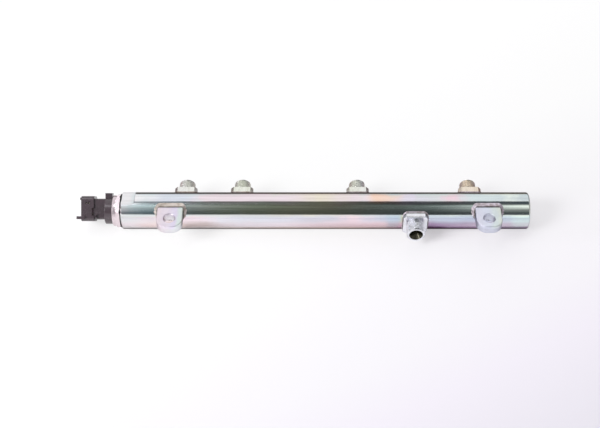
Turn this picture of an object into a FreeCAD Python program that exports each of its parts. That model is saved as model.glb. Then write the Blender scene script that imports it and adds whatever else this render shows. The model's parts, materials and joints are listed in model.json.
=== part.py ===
"""High-pressure fuel rail of a common-rail engine, with its pressure sensor.

A thick steel tube lies along X. Four outlet fittings point to +Y, one inlet fitting points
to -Y, and two welded lugs reach to -Y with upright bolt holes. The sensor is screwed into the
left end of the tube. Sizes are in millimetres.

Frame: the origin is midway between the two bolt holes, on the plane where the lugs sit on the
engine. +X runs along the tube, away from the sensor, and +Z is the way the bolts come out.
"""
import FreeCAD
import Part
import math
import os

Vector = FreeCAD.Vector

# Rail tube
tube_diameter = 32.0
tube_length = 353.2
tube_sensor_end_chamfer = 0.8
tube_far_end_chamfer = 1.4
gallery_diameter = 10.5
gallery_end_wall = 12.0
drill_point_angle = 118.0
cross_drilling_diameter = 3.0

# Wrench flats at the sensor end of the tube
flats_across = 26.6
flats_length = 12.0
flats_turn = 9.0
flats_corner_radius = 1.2

# Sensor port in the tube
sensor_thread_diameter = 18.0
sensor_thread_clearance = 0.1
port_thread_depth = 14.0
port_mouth_chamfer = 1.0
sealing_cone_angle = 120.0
sealing_gap = 0.05

# Places along the tube, from its sensor end; the far ones are set back from its other end
outlet_far_margin = 49.4
inlet_far_margin = 99.0
lug_far_margin = 37.0
outlet_places = (54.6, 103.8, 205.4, tube_length - outlet_far_margin)
inlet_place = tube_length - inlet_far_margin
lug_places = (43.2, tube_length - lug_far_margin)

# Outlet fittings
outlet_block_width = 19.5
outlet_block_reach = 20.0
outlet_thread_diameter = 14.0
outlet_neck_reach = 31.8
outlet_mouth_diameter = 10.4

# Inlet fitting
inlet_block_width = 21.0
inlet_block_reach = 17.4
inlet_thread_diameter = 16.0
inlet_neck_reach = 28.8
inlet_mouth_diameter = 11.6

# Forms that all the fittings share
block_corner_chamfer = 2.4
block_edge_chamfer = 0.6
neck_undercut_depth = 0.9
neck_undercut_length = 1.8
neck_end_chamfer = 0.8
mouth_cone_angle = 60.0

# Mounting lugs
lug_width = 22.0
lug_thickness = 8.0
lug_underside_height = 6.3
lug_hole_reach = 22.2
lug_end_reach = 10.3
lug_corner_radius = 9.2
lug_hole_diameter = 10.0
lug_hole_chamfer = 0.5
lug_edge_radius = 0.8

# Weld beads
fitting_bead_width = 1.5
fitting_bead_height = 1.3
lug_bead_width = 3.8
lug_bead_height = 1.6
lug_bead_top_width = 2.6
bead_edge_share = 0.8

# Sensor body, measured outwards from the end of the tube
sensor_clock_angle = 47.0
seal_ring_thickness = 1.2
seal_ring_diameter = 29.4
seal_ring_bore_clearance = 0.5
seal_ring_edge_radius = 0.5
hex_across_flats = 27.0
hex_length = 3.7
hex_turn = 6.5
hex_chamfer_length = 1.0
collar_diameter = 26.8
collar_length = 3.2
collar_wall = 1.2
collar_edge_radius = 0.9
crimp_lip_thickness = 0.9
cup_floor_thickness = 2.4
stub_nose_diameter = 13.0
stub_undercut_depth = 1.0
stub_undercut_length = 2.0
pressure_port_diameter = 3.0

# Measuring cell, board and chip inside the sensor
cell_diameter = 8.0
cell_height = 3.4
membrane_thickness = 0.4
board_thickness = 1.0
board_clearance = 0.3
board_height = 4.6
chip_width = 5.0
chip_thickness = 1.1
chip_offset = 4.4

# Plug housing: the flange is held by the crimped collar
flange_clearance = 0.1
flange_lip_step = 0.5
flange_end = 14.8
flange_wall = 1.9
flange_roof_thickness = 3.4
flange_edge_radius = 0.7
coding_block_width = 7.0
coding_block_top = 15.2
coding_block_gap = 0.6
o_ring_section = 1.6
o_ring_squeeze = 0.05

# Plug neck and mouth, "up" is across the plug and "front" is towards its broad side
neck_end = 23.8
neck_up_low = -7.7
neck_up_high = 10.4
neck_depth = 13.0
neck_corner_radius = 2.2
mouth_end = 35.2
mouth_up_low = -9.2
mouth_up_high = 12.6
mouth_depth = 16.6
mouth_corner_radius = 3.4
mouth_wall = 1.7
mouth_cavity_depth = 10.6
mouth_edge_radius = 0.5

# Small forms on the broad side of the plug
panel_low = 4.2
panel_high = 9.8
panel_height = 0.5
form_root = 0.5
form_edge_radius = 0.3
rib_count = 3
rib_first_up = 0.1
rib_pitch = 1.4
rib_width = 0.7
rib_height = 0.6
ridge_up = -1.6
ridge_width = 0.9
ridge_height = 0.6
pocket_diameter = 3.6
pocket_depth = 1.4
pocket_place = 20.4
pocket_up = -5.0
window_length = 1.9
window_low = -4.6
window_high = 2.2
latch_hole_size = 1.5
latch_hole_height = 2.2
latch_hole_places = (28.2, 30.4)
latch_hole_up = 6.9
tongue_start = 31.8
tongue_end = 38.8
tongue_low = -7.4
tongue_high = -4.9
tongue_height = 1.3
nub_length = 1.6
nub_size = 2.0
nub_up = 10.3

# Contact pins
pin_pitch = 4.6
pin_width = 1.6
pin_thickness = 0.6
pin_tip_gap = 2.4
pin_tip_bevel = 0.2
pin_seat_clearance = 0.02

# Worked out from the sizes above
tube_radius = tube_diameter / 2
gallery_radius = gallery_diameter / 2
tube_left = -(lug_places[0] + lug_places[1]) / 2
axis_y = lug_hole_reach
axis_z = -lug_underside_height
ALONG = Vector(1, 0, 0)
BACK = Vector(0, 1, 0)
FRONT = Vector(0, -1, 0)
UP = Vector(0, 0, 1)
OUTWARDS = Vector(-1, 0, 0)
reach_past = 1.0
axis_start = Vector(tube_left, axis_y, axis_z)

hex_end = seal_ring_thickness + hex_length
collar_end = hex_end + collar_length
cup_floor = seal_ring_thickness + cup_floor_thickness
cup_radius = collar_diameter / 2 - collar_wall
lip_inner_radius = cup_radius - flange_lip_step
lip_start = collar_end - crimp_lip_thickness
base_radius = cup_radius - flange_clearance
flange_radius = lip_inner_radius - flange_clearance
flange_inner_radius = flange_radius - flange_wall
flange_roof = flange_end - flange_roof_thickness
board_bottom = cup_floor + board_height
plug_middle_up = (mouth_up_low + mouth_up_high) / 2


def turned(profile, start, direction):
    """Solid turned about a line: each profile point is (distance along it, radius)."""
    side = UP if abs(direction.z) < 0.5 else ALONG
    corners = [start + direction * along + side * radius for along, radius in profile]
    face = Part.Face(Part.makePolygon(corners + [corners[0]]))
    return face.revolve(start, direction, 360)


def cylinder(diameter, start, direction, length):
    """Round bar from a start point."""
    return Part.makeCylinder(diameter / 2, length, start, direction)


def on_tube(place, radial, direction):
    """Point at a place along the tube, a distance from its axis."""
    return Vector(tube_left + place, axis_y, axis_z) + direction * radial


def block(x_range, y_range, z_range):
    """Box between two limits on each axis."""
    low = Vector(x_range[0], y_range[0], z_range[0])
    sizes = [limits[1] - limits[0] for limits in (x_range, y_range, z_range)]
    return Part.makeBox(sizes[0], sizes[1], sizes[2], low)


def edges_along(shape, direction):
    """Straight edges that run along a direction."""
    found = []
    for edge in shape.Edges:
        run = edge.Vertexes[-1].Point - edge.Vertexes[0].Point
        if run.Length > 1e-6 and abs(run.normalize().dot(direction)) > 0.9999:
            found.append(edge)
    return found


def make_tube():
    """Tube with chamfered ends, wrench flats, gallery, sensor port and cross drillings."""
    port_radius = sensor_thread_diameter / 2 + sensor_thread_clearance
    cone_slope = math.tan(math.radians(sealing_cone_angle / 2))
    cone_end = port_thread_depth + (port_radius - gallery_radius) / cone_slope
    point_slope = math.tan(math.radians(drill_point_angle / 2))
    gallery_end = tube_length - gallery_end_wall
    tube = turned(
        [
            (0, port_radius + port_mouth_chamfer),
            (0, tube_radius - tube_sensor_end_chamfer),
            (tube_sensor_end_chamfer, tube_radius),
            (tube_length - tube_far_end_chamfer, tube_radius),
            (tube_length, tube_radius - tube_far_end_chamfer),
            (tube_length, 0),
            (gallery_end, 0),
            (gallery_end - gallery_radius / point_slope, gallery_radius),
            (cone_end, gallery_radius),
            (port_thread_depth, port_radius),
            (port_mouth_chamfer, port_radius),
        ],
        axis_start,
        ALONG,
    )
    for side in (0, 180):
        cutter = block(
            (tube_left - reach_past, tube_left + flats_length),
            (axis_y - tube_radius, axis_y + tube_radius),
            (axis_z + flats_across / 2, axis_z + tube_diameter),
        )
        inner = [
            edge
            for edge in edges_along(cutter, BACK)
            if edge.CenterOfMass.x > tube_left and edge.CenterOfMass.z < axis_z + tube_radius
        ]
        cutter = cutter.makeFillet(flats_corner_radius, inner)
        cutter.rotate(axis_start, ALONG, side - flats_turn)
        tube = tube.cut(cutter)
    return tube.cut([make_drilling(place, direction) for place, direction in fitting_axes()])


def make_drilling(place, direction):
    """Cross drilling from the gallery out through the wall to a fitting."""
    return cylinder(
        cross_drilling_diameter, on_tube(place, 0, direction), direction, tube_diameter
    )


def fitting_axes():
    """Place along the tube and direction of each fitting, the inlet last."""
    return [(place, BACK) for place in outlet_places] + [(inlet_place, FRONT)]


def make_fitting(place, direction, width, block_reach, thread, neck_reach, mouth):
    """Fitting of one piece: a square block seated on the tube, and a threaded neck."""
    half = width / 2
    middle = tube_left + place
    far = axis_y + direction.y * block_reach
    body = block(
        (middle - half, middle + half),
        (min(axis_y, far), max(axis_y, far)),
        (axis_z - half, axis_z + half),
    )
    body = body.makeChamfer(block_corner_chamfer, edges_along(body, BACK))
    end_face = max(body.Faces, key=lambda face: face.CenterOfMass.y * direction.y)
    body = body.makeChamfer(block_edge_chamfer, end_face.Edges)
    root = thread / 2 - neck_undercut_depth
    neck = turned(
        [
            (block_reach - reach_past, 0),
            (block_reach - reach_past, root),
            (block_reach + neck_undercut_length, root),
            (block_reach + neck_undercut_length + neck_undercut_depth, thread / 2),
            (neck_reach - neck_end_chamfer, thread / 2),
            (neck_reach, thread / 2 - neck_end_chamfer),
            (neck_reach, 0),
        ],
        on_tube(place, 0, direction),
        direction,
    )
    cone_depth = (mouth - cross_drilling_diameter) / 2 / math.tan(
        math.radians(mouth_cone_angle / 2)
    )
    passage = turned(
        [
            (0, 0),
            (0, cross_drilling_diameter / 2),
            (neck_reach - cone_depth, cross_drilling_diameter / 2),
            (neck_reach, mouth / 2),
            (neck_reach, 0),
        ],
        on_tube(place, 0, direction),
        direction,
    )
    tube = cylinder(tube_diameter, axis_start, ALONG, tube_length)
    return body.fuse(neck).removeSplitter().cut(tube).cut(passage)


def make_lug(place):
    """Thick plate with broad round corners, a bolt hole and a saddle that seats on the tube."""
    middle = tube_left + place
    half = lug_width / 2
    bottom = axis_z + lug_underside_height
    end = axis_y - lug_hole_reach - lug_end_reach
    plate = block(
        (middle - half, middle + half), (end, axis_y), (bottom, bottom + lug_thickness)
    )
    corners = [
        edge for edge in edges_along(plate, UP) if edge.CenterOfMass.y < end + lug_end_reach
    ]
    plate = plate.makeFillet(lug_corner_radius, corners)
    hole_centre = Vector(middle, axis_y - lug_hole_reach, bottom)
    rim = [
        edge
        for face in plate.Faces
        if abs(abs(face.normalAt(0, 0).z) - 1) < 1e-6
        for edge in face.Edges
        if edge.CenterOfMass.y < axis_y - lug_edge_radius
    ]
    plate = plate.makeFillet(lug_edge_radius, rim)
    hole_radius = lug_hole_diameter / 2
    hole = turned(
        [
            (-reach_past, 0),
            (-reach_past, hole_radius + lug_hole_chamfer),
            (0, hole_radius + lug_hole_chamfer),
            (lug_hole_chamfer, hole_radius),
            (lug_thickness - lug_hole_chamfer, hole_radius),
            (lug_thickness, hole_radius + lug_hole_chamfer),
            (lug_thickness + reach_past, hole_radius + lug_hole_chamfer),
            (lug_thickness + reach_past, 0),
        ],
        hole_centre,
        UP,
    )
    tube = cylinder(tube_diameter, axis_start, ALONG, tube_length)
    return plate.cut(hole).cut(tube)


def make_bead(place, half_width, angle_from, angle_to, height, corner, carrier):
    """Weld bead on the tube round a carrier's foot, with a rounded outline and edge.

    The angles, in degrees, go round the tube from +Y over the top.
    """
    middle = tube_left + place
    corners = [
        Vector(middle - half_width, axis_y + tube_radius, axis_z),
        Vector(middle + half_width, axis_y + tube_radius, axis_z),
        Vector(middle + half_width, axis_y + tube_radius + height, axis_z),
        Vector(middle - half_width, axis_y + tube_radius + height, axis_z),
    ]
    face = Part.Face(Part.makePolygon(corners + [corners[0]]))
    face.rotate(axis_start, ALONG, angle_from)
    bead = face.revolve(axis_start, ALONG, angle_to - angle_from)
    outer_radius = tube_radius + height
    upright = []
    for edge in bead.Edges:
        ends = [math.hypot(v.Point.y - axis_y, v.Point.z - axis_z) for v in edge.Vertexes]
        if len(ends) == 2 and abs(abs(ends[0] - ends[1]) - height) < 1e-6:
            upright.append(edge)
    bead = bead.makeFillet(corner, upright)
    top = [
        face
        for face in bead.Faces
        if isinstance(face.Surface, Part.Cylinder)
        and abs(face.Surface.Radius - outer_radius) < 1e-6
    ][0]
    return bead.makeFillet(height * bead_edge_share, top.Edges).cut(carrier)


def make_fitting_bead(place, direction, width, fitting):
    """Bead all round the block of a fitting."""
    spread = math.degrees(math.asin(width / 2 / tube_radius))
    spread += math.degrees(fitting_bead_width / tube_radius)
    towards = 0 if direction.y > 0 else 180
    bead = make_bead(
        place,
        width / 2 + fitting_bead_width,
        towards - spread,
        towards + spread,
        fitting_bead_height,
        block_corner_chamfer + fitting_bead_width,
        fitting,
    )
    return bead.cut(make_drilling(place, direction))


def make_lug_bead(place, lug):
    """Bead round the foot of a lug, widest along its upper side."""
    top_angle = 180 - math.degrees(
        math.asin((lug_underside_height + lug_thickness) / tube_radius)
    )
    bottom_angle = 180 - math.degrees(math.asin(lug_underside_height / tube_radius))
    return make_bead(
        place,
        lug_width / 2 + lug_bead_width,
        top_angle - math.degrees(lug_bead_top_width / tube_radius),
        bottom_angle + math.degrees(lug_bead_width / tube_radius),
        lug_bead_height,
        lug_bead_width,
        lug,
    )


def sensor_turned(profile):
    """Turned sensor piece: each point is (distance out from the tube's end, radius)."""
    return turned(profile, axis_start, OUTWARDS)


def clocked(shape):
    """A sensor piece turned about the tube's axis to where the sensor was tightened."""
    shape.rotate(axis_start, ALONG, -sensor_clock_angle)
    return shape


def make_seal_ring():
    """Black ring clamped between the hexagon and the end of the tube."""
    inner = sensor_thread_diameter / 2 + seal_ring_bore_clearance
    outer = seal_ring_diameter / 2
    ring = sensor_turned(
        [(0, inner), (0, outer), (seal_ring_thickness, outer), (seal_ring_thickness, inner)]
    )
    rims = [edge for edge in ring.Edges if abs(edge.BoundBox.YLength / 2 - outer) < 1e-6]
    return ring.makeFillet(seal_ring_edge_radius, rims)


def make_sensor_body():
    """Steel hexagon with the thread stub inwards and the crimped cup outwards."""
    corner_radius = hex_across_flats / 2 / math.cos(math.pi / 6)
    corners = []
    for index in range(6):
        angle = math.radians(180 + hex_turn + 60 * index)
        corners.append(
            Vector(
                tube_left - seal_ring_thickness,
                axis_y + corner_radius * math.cos(angle),
                axis_z + corner_radius * math.sin(angle),
            )
        )
    prism = Part.Face(Part.makePolygon(corners + [corners[0]])).extrude(
        OUTWARDS * hex_length
    )
    chamfer_rise = hex_chamfer_length * math.tan(math.radians(60))
    rounding = sensor_turned(
        [
            (seal_ring_thickness, 0),
            (seal_ring_thickness, corner_radius - chamfer_rise / 2),
            (seal_ring_thickness + hex_chamfer_length / 2, corner_radius),
            (hex_end - hex_chamfer_length, corner_radius),
            (hex_end, corner_radius - chamfer_rise),
            (hex_end, 0),
        ]
    )
    prism = prism.common(rounding)
    collar_radius = collar_diameter / 2
    collar = sensor_turned(
        [(hex_end - reach_past, 0), (hex_end - reach_past, collar_radius),
         (collar_end, collar_radius), (collar_end, 0)]
    )
    rim = [edge for edge in collar.Edges
           if abs(edge.CenterOfMass.x - (tube_left - collar_end)) < 1e-6
           and edge.Length > math.pi * collar_radius]
    collar = collar.makeFillet(collar_edge_radius, rim)
    thread_radius = sensor_thread_diameter / 2
    nose_radius = stub_nose_diameter / 2
    port_radius = thread_radius + sensor_thread_clearance
    cone_slope = math.tan(math.radians(sealing_cone_angle / 2))
    nose_depth = port_thread_depth + (port_radius - nose_radius) / cone_slope - sealing_gap
    tip_radius = gallery_radius
    tip_depth = nose_depth + (nose_radius - tip_radius) / cone_slope
    thread_end = port_thread_depth - 2 * port_mouth_chamfer
    stub = sensor_turned(
        [
            (seal_ring_thickness + reach_past, 0),
            (seal_ring_thickness + reach_past, thread_radius - stub_undercut_depth),
            (-stub_undercut_length + seal_ring_thickness, thread_radius - stub_undercut_depth),
            (-stub_undercut_length + seal_ring_thickness - stub_undercut_depth, thread_radius),
            (-thread_end, thread_radius),
            (-thread_end - (thread_radius - nose_radius) / cone_slope, nose_radius),
            (-nose_depth, nose_radius),
            (-tip_depth, tip_radius),
            (-tip_depth, 0),
        ]
    )
    body = prism.fuse(collar).fuse(stub).removeSplitter()
    cup = sensor_turned(
        [
            (cup_floor, 0),
            (cup_floor, cup_radius),
            (lip_start, cup_radius),
            (lip_start, lip_inner_radius),
            (collar_end + reach_past, lip_inner_radius),
            (collar_end + reach_past, 0),
        ]
    )
    port = sensor_turned(
        [
            (-tip_depth - reach_past, 0),
            (-tip_depth - reach_past, pressure_port_diameter / 2),
            (cup_floor + reach_past, pressure_port_diameter / 2),
            (cup_floor + reach_past, 0),
        ]
    )
    return clocked(body.cut(cup).cut(port))


def make_measuring_cell():
    """Steel cell whose thin top is the membrane that the fuel pressure bends."""
    top = cup_floor + cell_height
    port_radius = pressure_port_diameter / 2
    return sensor_turned(
        [
            (cup_floor, port_radius),
            (cup_floor, cell_diameter / 2),
            (top, cell_diameter / 2),
            (top, 0),
            (top - membrane_thickness, 0),
            (top - membrane_thickness, port_radius),
        ]
    )


def make_board():
    """Round circuit board above the cell."""
    radius = flange_inner_radius - board_clearance
    return sensor_turned(
        [
            (board_bottom, 0),
            (board_bottom, radius),
            (board_bottom + board_thickness, radius),
            (board_bottom + board_thickness, 0),
        ]
    )


def make_chip():
    """Signal chip on the outer face of the board."""
    near = tube_left - board_bottom - board_thickness
    half = chip_width / 2
    chip = block(
        (near - chip_thickness, near),
        (axis_y + chip_offset - half, axis_y + chip_offset + half),
        (axis_z - half, axis_z + half),
    )
    return clocked(chip)


def make_o_ring():
    """Round rubber ring pressed under the plug housing."""
    section_radius = o_ring_section / 2
    middle = cup_floor + section_radius + o_ring_squeeze
    ring_radius = base_radius - section_radius - flange_clearance
    circle = Part.Wire(
        Part.makeCircle(
            section_radius,
            Vector(tube_left - middle, axis_y, axis_z + ring_radius),
            BACK,
        )
    )
    return Part.Face(circle).revolve(axis_start, ALONG, 360)


def plug_block(out_range, front_range, up_range):
    """Box on the plug: out from the tube's end, towards its broad front side, and up."""
    return block(
        (tube_left - out_range[1], tube_left - out_range[0]),
        (axis_y - front_range[1], axis_y - front_range[0]),
        (axis_z + up_range[0], axis_z + up_range[1]),
    )


def rounded_bar(out_range, depth, up_range, radius):
    """Bar along the plug with rounded long edges, centred front to back."""
    bar = plug_block(out_range, (-depth / 2, depth / 2), up_range)
    return bar.makeFillet(radius, edges_along(bar, ALONG))


def make_plug_housing():
    """Moulded plug: crimped flange, neck, open mouth and the small forms on its sides."""
    base_start = cup_floor + o_ring_section + 2 * o_ring_squeeze
    flange = sensor_turned(
        [
            (base_start, 0),
            (base_start, base_radius),
            (lip_start - flange_clearance, base_radius),
            (lip_start - flange_clearance, flange_radius),
            (flange_end, flange_radius),
            (flange_end, 0),
        ]
    )
    hollow = sensor_turned(
        [
            (base_start - reach_past, 0),
            (base_start - reach_past, flange_inner_radius),
            (flange_roof, flange_inner_radius),
            (flange_roof, 0),
        ]
    )
    rim = [edge for edge in flange.Edges
           if abs(edge.CenterOfMass.x - (tube_left - flange_end)) < 1e-6
           and edge.Length > math.pi * flange_radius]
    flange = flange.makeFillet(flange_edge_radius, rim)
    coding = plug_block(
        (collar_end + coding_block_gap, flange_end),
        (-coding_block_width / 2, coding_block_width / 2),
        (flange_inner_radius, coding_block_top),
    )
    neck = rounded_bar(
        (flange_roof + reach_past, neck_end + reach_past),
        neck_depth,
        (neck_up_low, neck_up_high),
        neck_corner_radius,
    )
    mouth = rounded_bar(
        (neck_end, mouth_end), mouth_depth, (mouth_up_low, mouth_up_high), mouth_corner_radius
    )
    end_faces = [face for face in mouth.Faces if abs(abs(face.normalAt(0, 0).x) - 1) < 1e-6]
    end_edges = [edge for face in end_faces for edge in face.Edges]
    mouth = mouth.makeFillet(mouth_edge_radius, end_edges)
    housing = flange.fuse([coding, neck, mouth] + plug_forms())
    cavity = rounded_bar(
        (mouth_end - mouth_cavity_depth, tongue_end + reach_past),
        mouth_depth - 2 * mouth_wall,
        (mouth_up_low + mouth_wall, mouth_up_high - mouth_wall),
        mouth_corner_radius - mouth_wall,
    )
    housing = housing.cut([hollow, cavity] + plug_recesses() + pin_slots())
    return clocked(housing.removeSplitter())


def plug_rib(out_range, front, height, up_range):
    """Bar that stands a height off the plug's broad side, with rounded outer edges."""
    bar = plug_block(out_range, (front - form_root, front + height), up_range)
    outer = [edge for edge in edges_along(bar, ALONG)
             if abs(edge.CenterOfMass.y - (axis_y - front - height)) < 1e-6]
    return bar.makeFillet(form_edge_radius, outer)


def plug_forms():
    """Raised forms of the plug: panel, ribs, ridge, tongue and nub."""
    neck_front = neck_depth / 2
    mouth_front = mouth_depth / 2
    on_neck = (flange_end - form_root, neck_end + form_root)
    on_mouth = (neck_end + mouth_edge_radius, mouth_end - mouth_edge_radius)
    ridge_range = (ridge_up - ridge_width / 2, ridge_up + ridge_width / 2)
    forms = [
        plug_rib(on_neck, neck_front, panel_height, (panel_low, panel_high)),
        plug_rib(on_neck, neck_front, ridge_height, ridge_range),
        plug_rib(on_mouth, mouth_front, ridge_height, ridge_range),
        plug_block(
            (tongue_start, tongue_end),
            (mouth_front - mouth_wall, mouth_front + tongue_height),
            (tongue_low, tongue_high),
        ),
        plug_block(
            (mouth_end - nub_length, mouth_end + nub_length / 2),
            (mouth_front - mouth_wall - nub_size, mouth_front - mouth_wall / 2),
            (nub_up - nub_size / 2, nub_up + nub_size / 2),
        ),
    ]
    for index in range(rib_count):
        low = rib_first_up + rib_pitch * index
        forms.append(plug_rib(on_neck, neck_front, rib_height, (low, low + rib_width)))
    return forms


def plug_recesses():
    """Cut forms of the plug: round pocket, locking window and latch holes."""
    neck_front = neck_depth / 2
    mouth_front = mouth_depth / 2
    pocket = cylinder(
        pocket_diameter,
        Vector(
            tube_left - pocket_place,
            axis_y - neck_front + pocket_depth,
            axis_z + pocket_up,
        ),
        FRONT,
        2 * pocket_depth,
    )
    window = plug_block(
        (neck_end - reach_past / 4, neck_end + window_length),
        (mouth_front - mouth_wall, mouth_front + reach_past),
        (window_low, window_high),
    )
    recesses = [pocket, window]
    for place in latch_hole_places:
        recesses.append(
            plug_block(
                (place - latch_hole_size / 2, place + latch_hole_size / 2),
                (mouth_front - mouth_wall - reach_past, mouth_front + reach_past),
                (latch_hole_up - latch_hole_height / 2, latch_hole_up + latch_hole_height / 2),
            )
        )
    return recesses


def pin_places():
    """Heights of the pins across the plug."""
    return [plug_middle_up + pin_pitch * step for step in (-1, 0, 1)]


def pin_slots():
    """Slots in which the pins are held, through the wall behind the mouth."""
    slots = []
    for up in pin_places():
        half_width = pin_width / 2 + pin_seat_clearance
        half_thickness = pin_thickness / 2 + pin_seat_clearance
        slots.append(
            plug_block(
                (flange_roof - reach_past, mouth_end),
                (-half_thickness, half_thickness),
                (up - half_width, up + half_width),
            )
        )
    return slots


def make_pin(up):
    """Flat contact pin from the board to the plug's mouth, with a tapered tip."""
    foot = board_bottom + board_thickness
    tip = mouth_end - pin_tip_gap
    pin = plug_block(
        (foot, tip),
        (-pin_thickness / 2, pin_thickness / 2),
        (up - pin_width / 2, up + pin_width / 2),
    )
    tip_edges = [edge for edge in edges_along(pin, UP)
                 if abs(edge.CenterOfMass.x - (tube_left - tip)) < 1e-6]
    pin = pin.makeChamfer(pin_tip_bevel, tip_edges)
    side_edges = [edge for edge in edges_along(pin, BACK)
                  if abs(edge.CenterOfMass.x - (tube_left - tip)) < 1e-6]
    return clocked(pin.makeChamfer(pin_tip_bevel, side_edges))


def make_parts():
    """Every piece of the rail, by its node name."""
    parts = {"rail_tube": make_tube()}
    for number, place in enumerate(outlet_places, start=1):
        fitting = make_fitting(
            place,
            BACK,
            outlet_block_width,
            outlet_block_reach,
            outlet_thread_diameter,
            outlet_neck_reach,
            outlet_mouth_diameter,
        )
        parts[f"outlet_fitting_{number}"] = fitting
        parts[f"outlet_weld_{number}"] = make_fitting_bead(
            place, BACK, outlet_block_width, fitting
        )
    parts["inlet_fitting"] = make_fitting(
        inlet_place,
        FRONT,
        inlet_block_width,
        inlet_block_reach,
        inlet_thread_diameter,
        inlet_neck_reach,
        inlet_mouth_diameter,
    )
    parts["inlet_weld"] = make_fitting_bead(
        inlet_place, FRONT, inlet_block_width, parts["inlet_fitting"]
    )
    for side, place in zip(("left", "right"), lug_places):
        lug = make_lug(place)
        parts[f"mounting_lug_{side}"] = lug
        parts[f"lug_weld_{side}"] = make_lug_bead(place, lug)
    parts["sensor_seal_ring"] = make_seal_ring()
    parts["sensor_body"] = make_sensor_body()
    parts["measuring_cell"] = make_measuring_cell()
    parts["circuit_board"] = make_board()
    parts["signal_chip"] = make_chip()
    parts["housing_o_ring"] = make_o_ring()
    parts["plug_housing"] = make_plug_housing()
    for number, up in enumerate(pin_places(), start=1):
        parts[f"contact_pin_{number}"] = make_pin(up)
    return parts


os.makedirs("parts", exist_ok=True)
for name, shape in make_parts().items():
    solids = shape.Solids
    if len(solids) == 1:
        shape = solids[0]
    print(name, len(solids), round(shape.Volume, 1), shape.isValid())
    shape.exportStep(f"parts/{name}.step")
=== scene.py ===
# %% [markdown]
# # A fuel rail on a white table
#
# The rail is a thick steel tube that stores fuel at high pressure for the injectors of an
# engine. Four outlet fittings stand at its back, one inlet fitting and two lugs at its front,
# and a pressure sensor with a dark plug is screwed into its left end. The steel is plated with
# zinc, and the film on the zinc splits light into faint rose, lilac, straw and teal.
#
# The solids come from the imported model. This script makes smoother or richer surfaces where
# the picture asks for them, gives every piece its material, and lights the whole.

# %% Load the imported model
import bmesh
import bpy
import json
import math
import numpy as np
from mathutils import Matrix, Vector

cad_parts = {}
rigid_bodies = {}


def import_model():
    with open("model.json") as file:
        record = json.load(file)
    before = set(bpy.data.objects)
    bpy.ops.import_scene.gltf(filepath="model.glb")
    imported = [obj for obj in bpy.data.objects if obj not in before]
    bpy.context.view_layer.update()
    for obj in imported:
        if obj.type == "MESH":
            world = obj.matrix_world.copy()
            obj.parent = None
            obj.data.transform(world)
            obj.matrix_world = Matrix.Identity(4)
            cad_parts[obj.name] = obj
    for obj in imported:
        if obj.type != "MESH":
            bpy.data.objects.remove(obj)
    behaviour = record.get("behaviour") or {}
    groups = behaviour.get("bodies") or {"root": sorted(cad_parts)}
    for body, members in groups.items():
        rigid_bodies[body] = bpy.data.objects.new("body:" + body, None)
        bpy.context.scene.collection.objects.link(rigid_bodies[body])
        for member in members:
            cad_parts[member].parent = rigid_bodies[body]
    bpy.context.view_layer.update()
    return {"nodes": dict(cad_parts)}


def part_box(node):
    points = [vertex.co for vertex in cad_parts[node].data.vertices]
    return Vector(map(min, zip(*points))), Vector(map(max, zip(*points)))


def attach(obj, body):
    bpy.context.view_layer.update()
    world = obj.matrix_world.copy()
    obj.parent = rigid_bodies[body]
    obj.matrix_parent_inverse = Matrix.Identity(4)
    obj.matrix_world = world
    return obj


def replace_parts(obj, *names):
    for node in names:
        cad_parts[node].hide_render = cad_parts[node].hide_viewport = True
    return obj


for leftover in list(bpy.data.objects):
    bpy.data.objects.remove(leftover)
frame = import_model()
nodes = frame["nodes"]

# %% [markdown]
# ## Where the tube lies
#
# Blender counts in metres and the maker in millimetres, so one factor turns the maker's sizes
# into Blender's. The tube's box gives its axis, its radius and both of its ends, so the new
# surfaces sit exactly where the solids do.

# %% The tube's axis and ends
MM = 0.001
tube_low, tube_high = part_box("rail_tube")
tube_left = tube_low.x
tube_length = tube_high.x - tube_low.x
tube_radius = (tube_high.y - tube_low.y) / 2
axis_y = (tube_low.y + tube_high.y) / 2
axis_z = (tube_low.z + tube_high.z) / 2
print("tube", round(tube_length / MM, 1), "mm long, radius", round(tube_radius / MM, 2), "mm")

# %% [markdown]
# ## The camera
#
# The picture was taken from above the front, 47 degrees over the table, with a lens long
# enough to keep the tube's two edges parallel. From the tube's width in the picture, 36.6
# pixels for 32 mm, and the growth of the nearer pieces, the camera stood about a metre away.
# The lens follows from both: focal length = pixels per mm * distance * film width / picture
# width.

# %% Camera at the picture's viewing angle
view_elevation = math.radians(47.0)
camera_distance = 1000 * MM
aim = (-25.0 * MM, 20.0 * MM, -8.3 * MM)
film_width = 36.0
focal_length = 68.64
camera = bpy.data.objects.new("camera", bpy.data.cameras.new("camera"))
camera.data.sensor_width = film_width
camera.data.lens = focal_length
camera.location = (
    aim[0],
    aim[1] - camera_distance * math.cos(view_elevation),
    aim[2] + camera_distance * math.sin(view_elevation),
)
camera.rotation_euler = (math.pi / 2 - view_elevation, 0, 0)
bpy.context.collection.objects.link(camera)
bpy.context.scene.camera = camera
bpy.context.scene.view_settings.view_transform = "Standard"
print("camera at", [round(c / MM) for c in camera.location], "mm")

# %% [markdown]
# ## Surfaces from grids of points
#
# A turned or swept piece is a grid: one row for each point of its outline, one column for each
# step round or along it. Numpy works out the whole grid at once. Neighbouring cells share
# their corners, so merging doubles closes the seams and poles, and recalculated normals then
# point outwards on the closed shell. Edges sharper than an angle stay crisp.

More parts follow.
